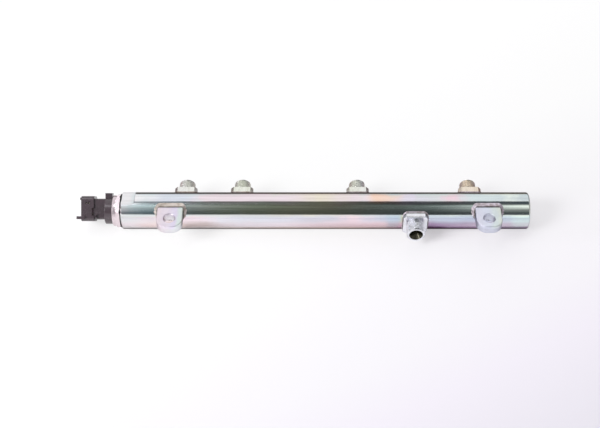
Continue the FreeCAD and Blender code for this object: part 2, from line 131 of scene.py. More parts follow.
# %% A helper that turns a grid into a piece
def shell(name, points, wrap_rows=False, crisp_angle=28.0, unplated_and_crease_shade=None):
    """Closed piece from a grid of points, rows by columns by three.

    Each cell between two rows and two columns is a face. The last column joins the first,
    and with wrap_rows the last row joins the first too. A grid of shares, kept on the points,
    says how much dull unplated steel shows at each point of a fitting's cone and bore, and how
    much painted crease shade at each point of a bead's toe.
    """
    rows, columns = points.shape[:2]
    index = np.arange(rows * columns).reshape(rows, columns)
    index = np.hstack([index, index[:, :1]])
    if wrap_rows:
        index = np.vstack([index, index[:1]])
    faces = np.stack([index[:-1, :-1], index[:-1, 1:], index[1:, 1:], index[1:, :-1]], axis=-1)
    mesh = bpy.data.meshes.new(name)
    mesh.from_pydata(points.reshape(-1, 3).tolist(), [], faces.reshape(-1, 4).tolist())
    if unplated_and_crease_shade is not None:
        mark = mesh.attributes.new("unplated_and_crease_shade", "FLOAT", "POINT")
        mark.data.foreach_set("value", unplated_and_crease_shade.ravel().astype(np.float32))
    work = bmesh.new()
    work.from_mesh(mesh)
    bmesh.ops.remove_doubles(work, verts=work.verts, dist=1e-7)
    bmesh.ops.recalc_face_normals(work, faces=work.faces)
    open_edges = sum(1 for edge in work.edges if len(edge.link_faces) != 2)
    work.to_mesh(mesh)
    work.free()
    mesh.shade_smooth()
    mesh.set_sharp_from_angle(angle=math.radians(crisp_angle))
    piece = bpy.data.objects.new(name, mesh)
    bpy.context.collection.objects.link(piece)
    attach(piece, "root")
    print(name, len(mesh.polygons), "faces,", open_edges, "open edges")
    return piece


# %% [markdown]
# ## The drawn tube
#
# The real tube is drawn steel with machined ends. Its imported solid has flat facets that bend
# the long reflections, so a finer surface takes its place. Its outline runs from the closed
# end's centre, out and along the wall to the open end, then back in through the sensor's port
# and the bore. At the open end two wrench flats cut into the round wall. A holding row close
# to each edge keeps the edge's slanting normals from spreading over the long wall.

# %% Outline of the tube, and the flats
sensor_end_chamfer = 0.8 * MM
far_end_round = 1.4 * MM
hold = 0.3 * MM
flats_half = 13.3 * MM
flats_length = 12.0 * MM
flats_turn = math.radians(9.0)
flats_corner = 1.2 * MM
bore_radius = 5.25 * MM
port_radius = 9.1 * MM
port_depth = 14.0 * MM
port_mouth = 1.0 * MM
bore_end_wall = 12.0 * MM

corner_lean = np.linspace(math.pi / 2, 0, 9)
end_rows = np.linspace(sensor_end_chamfer, 0, 5)
flats_x = np.concatenate([
    [flats_length + hold, flats_length],
    flats_length - flats_corner * (1 - np.sin(corner_lean)), end_rows])
flats_wall = tube_radius - np.clip(sensor_end_chamfer - flats_x, 0, None)
flats_distance = np.concatenate([
    [2 * tube_radius, 2 * tube_radius], flats_half + flats_corner * (1 - np.cos(corner_lean)),
    np.full(len(end_rows), flats_half)])
seat_half_angle, drill_half_angle = math.radians(60), math.radians(59)
cone_depth = (port_radius - bore_radius) / math.tan(seat_half_angle)
point_depth = bore_radius / math.tan(drill_half_angle)
before = [(tube_length, 0)] + [
    (tube_length - far_end_round * (1 - math.cos(lean)),
     tube_radius - far_end_round * (1 - math.sin(lean)))
    for lean in np.linspace(0, math.pi / 2, 7)]
before.append((tube_length - far_end_round - hold, tube_radius))
after = [
    (0, port_radius + port_mouth), (port_mouth, port_radius), (port_depth, port_radius),
    (port_depth + cone_depth, bore_radius),
    (tube_length - bore_end_wall - point_depth, bore_radius), (tube_length - bore_end_wall, 0),
]
print(len(before) + len(flats_x) + len(after), "rows in the tube's outline")

# %% Carry the outline round the tube
def make_drawn_tube():
    """Grid of the tube: r(x, turn) is the outline's radius, cut off where the flats lie.

    A flat at distance d, whose normal points at the angle a, allows r up to d / |cos(turn - a)|.
    Rows without a flat get a metre as d, which cuts nothing off.
    """
    no_flat = 1.0
    corner = math.acos(flats_half / tube_radius)
    specials = [flats_turn + side * math.pi + sign * corner for side in (0, 1) for sign in (-1, 1)]
    steps = np.linspace(0, 2 * math.pi, 481)[:-1]
    turn = np.unique(np.concatenate([steps, np.mod(specials, 2 * math.pi)]))
    x = np.concatenate([[p[0] for p in before], flats_x, [p[0] for p in after]])
    wall = np.concatenate([[p[1] for p in before], flats_wall, [p[1] for p in after]])
    limit = np.concatenate([np.full(len(before), no_flat), flats_distance,
                            np.full(len(after), no_flat)])
    lean = np.maximum(np.abs(np.cos(turn - flats_turn)), 1e-6)
    radius = np.minimum(wall[:, None], limit[:, None] / lean[None, :])
    points = np.stack([
        np.broadcast_to((tube_left + x)[:, None], radius.shape),
        axis_y + radius * np.sin(turn)[None, :],
        axis_z + radius * np.cos(turn)[None, :],
    ], axis=-1)
    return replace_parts(shell("drawn_tube", points), "rail_tube")


drawn_tube = make_drawn_tube()

# %% [markdown]
# ## The pipe fittings
#
# Each fitting is milled and turned from one piece: a square block with cut corners that sits
# on the tube, an undercut, a thread, and a cone in its mouth that seals the pipe. The packed
# solid has a plain neck, so the thread is made here. The whole fitting is one outline carried
# round its axis, where every row may have its own shape: a square with cut corners for the
# block, a circle for the neck, and a circle that breathes in and out for the thread.

# %% Shapes of the rows
def block_row(turn, half, cut, inset):
    """Radius of a square with cut corners at each angle, with every side set in by inset.

    A straight side at distance d from the axis is reached at d / |cos| of the angle to it.
    """
    flat = half - inset
    diagonal = (2 * half - cut) / math.sqrt(2) - inset
    along = np.maximum(np.abs(np.cos(turn)), np.abs(np.sin(turn)))
    across = (np.abs(np.cos(turn)) + np.abs(np.sin(turn))) / math.sqrt(2)
    return np.minimum(flat / along, diagonal / across)


def thread_row(turn, along, start, end, radius, pitch, hand):
    """Radius of a 60-degree thread at a distance along the neck, for each angle round it.

    The helix's phase grows by one turn per pitch. The groove is a V with a flat root and a
    flat crest, each a quarter of the pitch wide as on a plated thread, and it fades out over
    half a pitch at both ends.
    """
    depth = 0.5 * pitch
    flat = 0.25
    phase = (along / pitch + hand * turn / (2 * math.pi)) % 1.0
    groove = np.clip((1 - np.abs(2 * phase - 1) - flat) / (1 - 2 * flat), 0, 1)
    fade = np.clip(min(along - start, end - along) / (0.5 * pitch), 0, 1)
    return radius - depth * fade * groove


# %% Carry the rows along a fitting's axis
def make_pipe_fitting(name, node, facing, cut, thread, block_reach, neck_reach, mouth):
    """Grid of a fitting: rows run up the block and the neck, into the mouth and back down.

    A point at radius r and angle t lies r cos t along the tube, r sin t up, and a distance
    from the tube's axis. Where the block and the bore meet the tube that distance is
    sqrt(R^2 - height^2), which is the saddle. The cone and the bore, the last three rows, are
    left without plating.
    """
    low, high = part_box(node)
    middle = (low.x + high.x) / 2
    half = (high.x - low.x) / 2
    root = thread / 2 - 0.9 * MM
    edge = 0.6 * MM
    lip = 0.15 * MM
    bore = 1.5 * MM
    sunk = 0.2 * MM
    undercut, undercut_corner = 1.8 * MM, 0.3 * MM
    lead_in, lead_out = 0.9 * MM, 0.8 * MM
    pitch, thread_rows = 1.5 * MM, 78
    steps = np.linspace(0, 2 * math.pi, 289)[:-1]
    corner = math.atan2(half - cut, half)
    corners = [q * math.pi / 2 + s * corner for q in range(4) for s in (-1, 1)]
    turn = np.unique(np.round(np.concatenate([steps, np.mod(corners, 2 * math.pi)]), 9))

    def circle(radius):
        return np.full(len(turn), radius)

    def saddle(radius):
        return np.sqrt((tube_radius - sunk) ** 2 - (radius * np.sin(turn)) ** 2)

    base = block_row(turn, half, cut, 0)
    rows = [(saddle(base), base)]
    for lean in np.linspace(0, math.pi / 2, 5):
        inset, drop = edge * (1 - math.cos(lean)), edge * (1 - math.sin(lean))
        rows.append((circle(block_reach - drop), block_row(turn, half, cut, inset)))
    undercut_end = block_reach + undercut
    start, end = undercut_end + lead_in, neck_reach - lead_out
    rows += [(circle(block_reach), circle(root + undercut_corner)),
             (circle(block_reach + undercut_corner), circle(root)),
             (circle(undercut_end), circle(root))]
    for along in np.linspace(start, end, thread_rows):
        radius = thread_row(turn, along, start, end, thread / 2, pitch, facing)
        rows.append((circle(along), radius))
    cone = (mouth / 2 - bore) / math.tan(math.radians(30))
    rows += [(circle(neck_reach), circle(thread / 2 - lead_out)),
             (circle(neck_reach), circle(mouth / 2 + lip)),
             (circle(neck_reach - lip), circle(mouth / 2)),
             (circle(neck_reach - cone), circle(bore)),
             (saddle(circle(bore)), circle(bore))]
    away = np.stack([row[0] for row in rows])
    radius = np.stack([row[1] for row in rows])
    points = np.stack([
        middle + radius * np.cos(turn),
        axis_y + facing * away,
        axis_z + radius * np.sin(turn),
    ], axis=-1)
    unplated_and_crease_shade = np.zeros_like(radius)
    unplated_and_crease_shade[-3:] = 1.0
    piece = shell(name, points, wrap_rows=True, unplated_and_crease_shade=unplated_and_crease_shade)
    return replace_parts(piece, node)


# %% Four outlets at the back, one inlet at the front
fittings = []
for number in (1, 2, 3, 4):
    fittings.append(make_pipe_fitting(
        f"milled_outlet_{number}", f"outlet_fitting_{number}", facing=1, cut=2.4 * MM,
        thread=14.0 * MM, block_reach=20.0 * MM, neck_reach=31.8 * MM, mouth=10.4 * MM))
fittings.append(make_pipe_fitting(
    "milled_inlet", "inlet_fitting", facing=-1, cut=2.4 * MM,
    thread=16.0 * MM, block_reach=17.4 * MM, neck_reach=28.8 * MM, mouth=11.6 * MM))

# %% [markdown]
# ## The weld beads
#
# A bead is a row of small frozen pools, so its surface is a fillet with ripples across it. The
# path of each bead is a rectangle with rounded corners, laid on the round tube. At every step
# of the path the fillet runs from the tube to the side of the piece that is welded on, and
# the ripples swell it by a few tenths of a millimetre.

# %% The path round a foot
def foot_path(half_x, low_z, high_z, corner, step):
    """Points and outward directions of a rectangle with rounded corners, evenly stepped.

    The outline is walked by its length: straight runs between quarter circles.
    """
    runs_x, runs_z = 2 * (half_x - corner), (high_z - low_z) - 2 * corner
    lengths = [runs_x, corner * math.pi / 2, runs_z, corner * math.pi / 2] * 2
    ends = np.concatenate([[0], np.cumsum(lengths)])
    count = int(round(ends[-1] / step))
    walked = np.arange(count) * ends[-1] / count
    part = np.searchsorted(ends, walked, side="right") - 1
    within = walked - ends[part]
    middle_z = (low_z + high_z) / 2
    heading = np.where(part % 2 == 0, part // 2, part // 2 + within / corner / (math.pi / 2))
    normal_turn = math.pi / 2 - heading * math.pi / 2
    normal = np.stack([np.cos(normal_turn), np.sin(normal_turn)], axis=-1)
    quarter = part // 2
    arc_x = np.array([1, 1, -1, -1])[quarter] * runs_x / 2 + corner * normal[:, 0]
    arc_z = np.array([1, -1, -1, 1])[quarter] * runs_z / 2 + corner * normal[:, 1]
    line_x = np.select([quarter == 0, quarter == 1, quarter == 2, quarter == 3],
                       [within - runs_x / 2, half_x, runs_x / 2 - within, -half_x])
    half_z = (high_z - low_z) / 2
    line_z = np.select([quarter == 0, quarter == 1, quarter == 2, quarter == 3],
                       [half_z, runs_z / 2 - within, -half_z, within - runs_z / 2])
    x = np.where(part % 2 == 0, line_x, arc_x)
    z = np.where(part % 2 == 0, line_z, arc_z) + middle_z
    return x, z, normal, walked, ends[-1]


# %% Carry the bead's profile along the path
def make_bead(name, node, facing, foot, seed, corner, legs, top_leg, crown, ripple, swell, calm,
              thin):
    """Closed grid of a bead: rows across it, columns along the path.

    Across the bead s runs from 0 on the tube to 1 on the welded piece, through
    p + (1 - s) L b + s H m + h n. Here b and m run away from the foot along the tube and the
    piece, and n stands on the chord between them. The crown h = C s^1.5 (1 - s)^0.5 / 0.325
    rises slowly from the tube and drops steeply to the piece. Ripples swell L, H and C, less
    along the upper side, where calm holds them back. From the foot's middle down, L shrinks
    to the share thin. On the piece, from s = 0.75 to s = 0.9, the toe darkens to dull steel:
    painted shade in the crease between bead and piece.
    """
    ripple_bow, pool_spread, pool_sharpness, leg_swell = 0.45, 0.2, 2.2, 0.4
    low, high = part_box(node)
    x, z, normal, walked, total = foot_path(*foot, corner, 0.16 * MM)
    away = np.sqrt(tube_radius ** 2 - z ** 2)
    path = np.stack([(low.x + high.x) / 2 + x, axis_y + facing * away, axis_z + z], axis=-1)
    up = np.stack([np.zeros_like(z), facing * away, z], axis=-1) / tube_radius
    level = np.stack([normal[:, 0], np.zeros_like(z), normal[:, 1]], axis=-1)
    level -= (level * up).sum(axis=-1, keepdims=True) * up
    level /= np.linalg.norm(level, axis=-1, keepdims=True)
    climb = np.array([0.0, facing, 0.0])

    count = round(total / ripple)
    s = (1 - np.cos(np.linspace(0, math.pi, 15)))[:, None] / 2
    phase = (walked / total * count)[None, :] + ripple_bow * np.sin(math.pi * s)
    upper = np.clip(normal[:, 1], 0, 1)[None, :]
    lively = 1 - calm * upper
    pools = pool_spread * (np.random.default_rng(seed).random(count) - 0.5)
    hump = 1 - np.abs(2 * (phase % 1.0) - 1) ** pool_sharpness
    grow = 1 + lively * (pools[np.floor(phase).astype(int) % count] - swell * (1 - hump))
    low_side = np.clip((foot[1] + foot[2] - 2 * z) / (foot[2] - foot[1]), 0, 1)[None, :]
    leg = (legs[0] + (top_leg - legs[0]) * upper) * (1 - (1 - thin) * low_side)
    run = leg * (1 - s) * (1 + leg_swell * (grow - 1))
    rise = legs[1] * s * (1 + leg_swell * (grow - 1))
    height = crown / 0.325 * s ** 1.5 * np.sqrt(1 - s) * grow
    chord = legs[1] * level + legs[0] * climb
    chord /= np.linalg.norm(chord, axis=-1, keepdims=True)
    sag = run ** 2 * (1 - level[:, 0] ** 2)[None, :] / (2 * tube_radius)
    points = (path + run[..., None] * level + rise[..., None] * climb
              + height[..., None] * chord - sag[..., None] * up)
    root_depth = 0.5 * MM
    inside = path - root_depth * (level + up)
    # The toe's darkening is painted shade in the crease between bead and piece.
    toe_crease_shade = np.clip((np.broadcast_to(s, phase.shape) - 0.75) / 0.15, 0, 0.9)
    piece = shell(name, np.concatenate([points, inside[None]]), wrap_rows=True,
                  crisp_angle=60.0, unplated_and_crease_shade=np.concatenate([toe_crease_shade, toe_crease_shade[-1:]]))
    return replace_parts(piece, node)


# %% Beads of the fittings and the lugs
round_a_fitting = {"corner": 3.9 * MM, "legs": (1.0 * MM, 1.1 * MM), "top_leg": 1.1 * MM,
                   "crown": 0.25 * MM, "ripple": 1.5 * MM, "swell": 0.5, "calm": 0.3,
                   "thin": 1.0}
round_a_lug = {"corner": 2.0 * MM, "legs": (3.2 * MM, 2.3 * MM), "top_leg": 2.2 * MM,
               "crown": 0.6 * MM, "ripple": 1.9 * MM, "swell": 0.7, "calm": 0.95, "thin": 0.4}
beads = []
half = 19.5 / 2 * MM
for number in (1, 2, 3, 4):
    beads.append(make_bead(f"rippled_bead_outlet_{number}", f"outlet_weld_{number}", 1,
                           (half, -half, half), number, **round_a_fitting))
half = 21.0 / 2 * MM
beads.append(make_bead("rippled_bead_inlet", "inlet_weld", -1, (half, -half, half), 5,
                       **round_a_fitting))
for number, side in enumerate(("left", "right"), start=6):
    beads.append(make_bead(f"rippled_bead_lug_{side}", f"lug_weld_{side}", -1,
                           (11.0 * MM, 6.3 * MM, 14.3 * MM), number, **round_a_lug))

# %% [markdown]
# ## Materials
#
# Colours are written as on a screen, as hex codes, and one function turns them into the
# linear values that Blender mixes. One more function adds a node with its settings and links.

# %% Colour and node helpers
def colour(code):
    """Linear colour of an sRGB hex code.

    It is c / 12.92 in the darks and ((c + 0.055) / 1.055) ^ 2.4 above them.
    """
    channels = [int(code[i:i + 2], 16) / 255 for i in (1, 3, 5)]
    return tuple(c / 12.92 if c <= 0.04045 else ((c + 0.055) / 1.055) ** 2.4
                 for c in channels) + (1.0,)


def add(tree, kind, inputs=None, **settings):
    """Add a node: settings are its properties, inputs are values or sockets to link."""
    node = tree.nodes.new("ShaderNode" + kind)
    for name, value in settings.items():
        setattr(node, name, value)
    for name, value in (inputs or {}).items():
        if isinstance(value, bpy.types.NodeSocket):
            tree.links.new(value, node.inputs[name])
        else:
            node.inputs[name].default_value = value
    return node


def ramp_of(tree, value, stops, smooth="LINEAR"):
    """Colour ramp through (place, colour) stops."""
    node = add(tree, "ValToRGB", {"Fac": value})
    node.color_ramp.interpolation = smooth
    elements = node.color_ramp.elements
    while len(elements) > 1:
        elements.remove(elements[0])
    for number, (place, shade) in enumerate(stops):
        element = elements[0] if number == 0 else elements.new(place)
        element.position = place
        element.color = colour(shade)
    return node.outputs["Color"]


def start_material(name):
    """Empty material with its output node and its object coordinates in millimetres."""
    material = bpy.data.materials.new(name)
    material.use_nodes = True
    tree = material.node_tree
    tree.nodes.clear()
    place = add(tree, "TexCoord").outputs["Object"]
    in_mm = add(tree, "VectorMath", {0: place, 1: (1000, 1000, 1000)}, operation="MULTIPLY")
    return material, tree, in_mm.outputs[0]


def wear(material, *pieces):
    """Give pieces a material, whatever they wore before."""
    for piece in pieces:
        if not piece.data.materials:
            piece.data.materials.append(material)
        for material_slot in piece.material_slots:
            material_slot.material = material


# %% [markdown]
# ### Zinc with a rainbow film
#
# Bright zinc plating is sealed in a chromate bath that leaves a film about as thick as a wave
# of light. Where the film's thickness drifts, so does its tint. The metal underneath stays
# almost white. So the base colour is a pale grey that wanders through pale tints: each layer
# is a ramp of tints along the piece, and the layers follow one another upwards. Noise makes
# their borders ragged. On the tube, the lowest layers also darken beside the left lug, at the
# inlet and under the far half: painted shade. A dark edge tint darkens the metal where it is
# seen edge-on: painted shade, which draws the fine dark lines along both sides of the tube.
# Streaks of roughness and a fine bump keep the drawing marks that the plating only half
# covers. The haze is a few millimetres wide, and the marks are about a millimetre apart,
# coarser than real ones, so that they show at all.

# %% The zinc family
def make_zinc(name, span, layers, drift, haze, grain, rough, lines, bump, edge_on_shade="#8c7478"):
    """Plated steel: span is where the ramps start and end along X, in mm.

    Every layer is (height from, height to, stops) in mm, and it takes over from the layer
    before between its two heights. Lines stretch the haze and the grain along the piece. A
    share from 0 to 1 on the points shows the dull steel of unplated cones and bores, and on the
    beads' toes it paints the shade in the crease.
    """
    ragged = 5.0
    material, tree, place = start_material(name)
    cloud = add(tree, "TexNoise", {"Vector": place, "Scale": 0.05, "Detail": 3.0}).outputs["Fac"]
    split = add(tree, "SeparateXYZ", {"Vector": place})
    along = add(tree, "MapRange", {"Value": split.outputs["X"], "From Min": span[0],
                                   "From Max": span[1], "To Min": -drift / 2,
                                   "To Max": 1 - drift / 2})
    shifted = add(tree, "Math", {0: cloud, 1: drift, 2: along.outputs[0]},
                  operation="MULTIPLY_ADD").outputs[0]
    height = add(tree, "Math", {0: cloud, 1: ragged, 2: split.outputs["Z"]},
                 operation="MULTIPLY_ADD").outputs[0]
    tint = ramp_of(tree, shifted, layers[0][2], "EASE")
    for low, high, stops in layers[1:]:
        share = add(tree, "MapRange", {"Value": height, "From Min": low + ragged / 2,
                                       "From Max": high + ragged / 2})
        tint = add(tree, "Mix", {"Factor": share.outputs[0], 6: tint,
                                 7: ramp_of(tree, shifted, stops, "EASE")},
                   data_type="RGBA").outputs[2]

    stretch = add(tree, "Mapping", {"Vector": place, "Scale": lines}).outputs[0]
    fog = add(tree, "TexNoise", {"Vector": stretch, "Scale": 0.3, "Detail": 4.0})
    dull = ramp_of(tree, fog.outputs["Fac"], [(0.4, "#ffffff"), (0.65, haze)])
    plated = add(tree, "Mix", {"Factor": 1.0, 6: tint, 7: dull}, data_type="RGBA",
                 blend_type="MULTIPLY")
    # Dull steel in the unplated cones and bores; painted crease shade at the beads' toes.
    unplated_and_crease_shade = add(tree, "Attribute", attribute_name="unplated_and_crease_shade")
    base = add(tree, "Mix", {"Factor": unplated_and_crease_shade.outputs["Fac"], 6: plated.outputs[2],
                             7: colour("#545246")}, data_type="RGBA")
    marks = add(tree, "TexNoise", {"Vector": stretch, "Scale": grain, "Detail": 4.0})
    gloss = add(tree, "MapRange", {"Value": marks.outputs["Fac"], "From Min": 0.3,
                                   "From Max": 0.7, "To Min": rough[0], "To Max": rough[1]})
    relief = add(tree, "Bump", {"Height": marks.outputs["Fac"], "Strength": bump,
                                "Distance": 0.02 * MM})
    # The edge tint darkens the metal where it is seen edge-on: painted shade.
    shader = add(tree, "BsdfPrincipled", {
        "Base Color": base.outputs[2], "Metallic": 1.0, "Roughness": gloss.outputs[0],
        "Normal": relief.outputs[0], "Specular Tint": colour(edge_on_shade)})
    add(tree, "OutputMaterial", {"Surface": shader.outputs[0]})
    return material


# %% Zinc on the drawn tube
# Each list runs from the sensor's end to the far end: a place along the tube and its tint.
pearl, rose, lilac, straw = "#f2f0f1", "#f3e7ec", "#eae6f4", "#f5eedd"
peach, pink, ice, teal = "#fcddca", "#f6d9e4", "#e2e9f3", "#dbe9ea"
# The edge darkens to mauve towards the far end, most right of the inlet: painted shade.
edge = [(0.0, pearl), (0.58, "#ecdcd6"), (0.76, "#a184a0"), (1.0, "#c4b4cc")]
# The belly's dark stops: at 0.19 painted shadow, from 0.66 to 0.76 part film, part painted shadow.
belly = [(0.0, "#eae3e6"), (0.13, "#ecd8d6"), (0.19, "#cdbfbd"), (0.3, "#ece6ec"),
         (0.62, "#e6cfd4"), (0.66, "#c4bdc6"), (0.7, "#d8b6c4"), (0.76, "#b09ab8"),
         (0.95, "#dacfdc"), (1.0, "#dce2e4")]
front = [(0.0, "#e2e4e5"), (0.15, "#f2e2e7"), (0.3, "#e6e9f0"), (0.5, "#dedde6"),
         (0.56, "#f4e2e8"), (0.67, "#cbdbe9"), (0.695, "#d6e0ba"), (0.72, "#d0dae6"),
         (0.9, "#c8d2e2"), (1.0, "#dcf0ee")]
middle = [(0.0, "#f6f6f8"), (0.05, "#e0eef0"), (0.5, "#ece9de"), (0.63, "#dce8e8"),
          (1.0, "#f4fcf0")]
crest = [(0.0, "#fcfbfc"), (0.14, ice), (0.2, rose), (0.4, rose), (0.5, straw), (0.59, rose),
         (0.63, peach), (0.72, lilac), (0.8, pink), (0.86, teal), (1.0, "#d3dfe2")]
# The tube's very dark edge tint is painted shade along both of its sides.
zinc_tube = make_zinc(
    "rainbow_zinc_on_drawn_steel", (-179.7, 173.5),
    [(0, 0, edge), (-12.5, -9.0, belly), (-6.0, -2.0, front), (1.0, 3.5, middle),
     (8.0, 9.4, crest)],
    drift=0.12, haze="#f4f3f3", grain=1.1, rough=(0.09, 0.14), lines=(0.06, 1.0, 1.0), bump=0.3,
    edge_on_shade="#352828")
wear(zinc_tube, drawn_tube)
print(zinc_tube.name)

# %% Zinc on the milled fittings
# Silver on the first outlet, olive on the next two, lavender on the inlet, straw on the last.
milled = [(0.0, "#f4f4f2"), (0.2, "#f2f5ea"), (0.55, "#eef0e4"), (0.66, "#f4f6fb"),
          (0.8, "#f2f5fb"), (0.88, "#f2e8d8"), (1.0, "#f2e4d4")]
zinc_fitting = make_zinc(
    "rainbow_zinc_on_milled_steel", (-150.0, 150.0), [(0, 0, milled)],
    drift=0.05, haze="#f2f2ef", grain=1.6, rough=(0.22, 0.3), lines=(1.0, 0.3, 1.0), bump=0.1)
wear(zinc_fitting, *fittings)
print(zinc_fitting.name)

# %% Zinc on the lugs and the beads
# The pressed plates are satin. The tints for their edges are a little darker and cooler than
# those of their upper faces: painted shade.
left_lug_shaded_edges = [(0.0, "#eee5ea"), (1.0, "#e9eef0")]
right_lug_shaded_edges = [(0.0, "#dce0ec"), (0.6, "#dce1eb"), (1.0, "#ccd2dc")]
left_lug = [(0.0, "#fdf0f4"), (0.35, "#f9f0f9"), (0.7, "#f3edfe"), (0.85, "#ecf8f4"),
            (1.0, "#f0f9ee")]
right_lug = [(0.0, "#eff0fd"), (0.45, "#ebf1fe"), (0.7, "#ebf7f4"), (0.88, "#eff8ec"),
             (1.0, "#fbeff8")]
zinc_left_lug = make_zinc(
    "rainbow_zinc_on_left_lug", (-148.0, -125.0),
    [(0, 0, left_lug_shaded_edges), (4.5, 8.0, left_lug)],
    drift=0.35, haze="#faf9fb", grain=0.8, rough=(0.4, 0.48), lines=(1.0, 1.0, 1.0), bump=0.3)
zinc_right_lug = make_zinc(
    "rainbow_zinc_on_right_lug", (125.0, 148.0),
    [(0, 0, right_lug_shaded_edges), (4.5, 8.0, right_lug)],
    drift=0.35, haze="#faf9fb", grain=0.8, rough=(0.4, 0.48), lines=(1.0, 1.0, 1.0), bump=0.3)
weld_metal = [(0.0, "#e6ddd4"), (0.5, "#e6dfe3"), (1.0, "#dbd3df")]
zinc_weld = make_zinc(
    "rainbow_zinc_on_weld_metal", (-150.0, 150.0), [(0, 0, weld_metal)],
    drift=0.8, haze="#cfc9c2", grain=1.0, rough=(0.26, 0.36), lines=(1.0, 1.0, 1.0), bump=0.2)
wear(zinc_left_lug, nodes["mounting_lug_left"])
wear(zinc_right_lug, nodes["mounting_lug_right"])
wear(zinc_weld, *beads)
print(zinc_left_lug.name, zinc_right_lug.name, zinc_weld.name)

# %% [markdown]
# ### Bare steel of the sensor
#
# The sensor's hexagon and crimped collar are turned from stainless steel and left bare. The
# lathe leaves rings round the axis. On steel this bright they show as a soft satin that is
# rougher across the rings than along them.

# %% Turned stainless steel
def make_turned_steel(name, shade, rough, ring):
    """Satin steel whose rings lie one ring width apart along the lathe's axis."""
    material, tree, place = start_material(name)
    stretch = add(tree, "Mapping", {"Vector": place, "Scale": (1 / ring, 0.04, 0.04)})
    rings = add(tree, "TexNoise", {"Vector": stretch.outputs[0], "Scale": 1.0, "Detail": 3.0})
    cloud = add(tree, "TexNoise", {"Vector": place, "Scale": 0.25, "Detail": 4.0})
    base = ramp_of(tree, cloud.outputs["Fac"], [(0.35, shade[0]), (0.65, shade[1])])
    gloss = add(tree, "MapRange", {"Value": rings.outputs["Fac"], "From Min": 0.3,
                                   "From Max": 0.7, "To Min": rough[0], "To Max": rough[1]})
    relief = add(tree, "Bump", {"Height": rings.outputs["Fac"], "Strength": 0.15,
                                "Distance": 0.02 * MM})
    shader = add(tree, "BsdfPrincipled", {
        "Base Color": base, "Metallic": 1.0, "Roughness": gloss.outputs[0],
        "Normal": relief.outputs[0]})
    add(tree, "OutputMaterial", {"Surface": shader.outputs[0]})
    return material


sensor_steel = make_turned_steel("turned_stainless_steel", ("#e9dde1", "#ddd0d4"), (0.24, 0.3), 0.3)
cell_steel = make_turned_steel("ground_stainless_steel", ("#d0d0d2", "#c2c2c4"), (0.15, 0.25), 0.15)
wear(sensor_steel, nodes["sensor_body"])
wear(cell_steel, nodes["measuring_cell"])
print(sensor_steel.name, cell_steel.name)

# %% [markdown]
# ### Moulded plastics, rubber, board and pins
#
# The plug is nylon filled with glass fibre: almost black, slightly brown, with a fine grain
# where the fibres lie under the skin. The seals are matt black rubber. The board inside is
# green glass laminate, and the pins are brass with a dull tin coat.

# %% Dark materials with a fine grain
def make_moulded(name, shade, rough, grain, bump, specular=0.5):
    """Plain non-metal with a fine grain in its colour, its gloss and its surface."""
    material, tree, place = start_material(name)
    fine = add(tree, "TexNoise", {"Vector": place, "Scale": 1 / grain, "Detail": 5.0})
    broad = add(tree, "TexNoise", {"Vector": place, "Scale": 0.12, "Detail": 2.0})
    both = add(tree, "Math", {0: fine.outputs["Fac"], 1: broad.outputs["Fac"]}, operation="ADD")
    base = ramp_of(tree, add(tree, "Math", {0: both.outputs[0], 1: 0.5},
                             operation="MULTIPLY").outputs[0],
                   [(0.35, shade[0]), (0.65, shade[1])])
    gloss = add(tree, "MapRange", {"Value": broad.outputs["Fac"], "From Min": 0.3,
                                   "From Max": 0.7, "To Min": rough[0], "To Max": rough[1]})
    relief = add(tree, "Bump", {"Height": fine.outputs["Fac"], "Strength": bump,
                                "Distance": 0.03 * MM})
    shader = add(tree, "BsdfPrincipled", {
        "Base Color": base, "Roughness": gloss.outputs[0], "Normal": relief.outputs[0],
        "Specular IOR Level": specular})
    add(tree, "OutputMaterial", {"Surface": shader.outputs[0]})
    return material


plug_nylon = make_moulded("glass_filled_nylon", ("#2f2429", "#3e3038"), (0.18, 0.28), 0.35, 0.2,
                          specular=1.0)
seal_rubber = make_moulded("moulded_nitrile_rubber", ("#141414", "#1d1d1d"), (0.5, 0.65), 0.5, 0.4)
board_laminate = make_moulded("glass_epoxy_laminate", ("#1d5a38", "#256b44"), (0.3, 0.4), 0.8, 0.2)
chip_epoxy = make_moulded("black_moulding_epoxy", ("#161618", "#222224"), (0.45, 0.6), 0.2, 0.3)
pin_tin = make_turned_steel("tinned_brass", ("#dcd6c4", "#cdc6b2"), (0.25, 0.4), 0.5)
wear(plug_nylon, nodes["plug_housing"])
wear(seal_rubber, nodes["sensor_seal_ring"], nodes["housing_o_ring"])
wear(board_laminate, nodes["circuit_board"])
wear(chip_epoxy, nodes["signal_chip"])
wear(pin_tin, *(nodes[f"contact_pin_{number}"] for number in (1, 2, 3)))
print("plastics, rubber, board and pins done")

# %% [markdown]
# ## The table
#
# The rail lies on a sheet of white paper. The paper's own colour takes the lamp's light and
# the soft shadows. A share of plain glow is mixed in for what the camera sees, so the sheet
# reads as white without more light on the rail, and a small share for what metal and glass
# see. The colour falls off a little towards the near right, as the sheet does in the picture.
# Under and behind the rail the glow is stronger, which keeps the rail's own shadow as faint
# as it is in the picture, apart from the stretches beside the left lug and the inlet, where
# the shadow shows. Beyond the sheet's far edge, mirror rays see the paper dark brown while the
# camera sees it white: painted shade, which the metal mirrors as the dark line along the
# tube's top edge.

# %% White table
def make_table():
    """Flat square just below the tube, far larger than the view."""
    height = tube_low.z - 0.05 * MM
    corners = [(-3, -3, height), (3, -3, height), (3, 3, height), (-3, 3, height)]
    mesh = bpy.data.meshes.new("table")
    mesh.from_pydata(corners, [], [(0, 1, 2, 3)])
    table = bpy.data.objects.new("table", mesh)
    bpy.context.collection.objects.link(table)
    return table


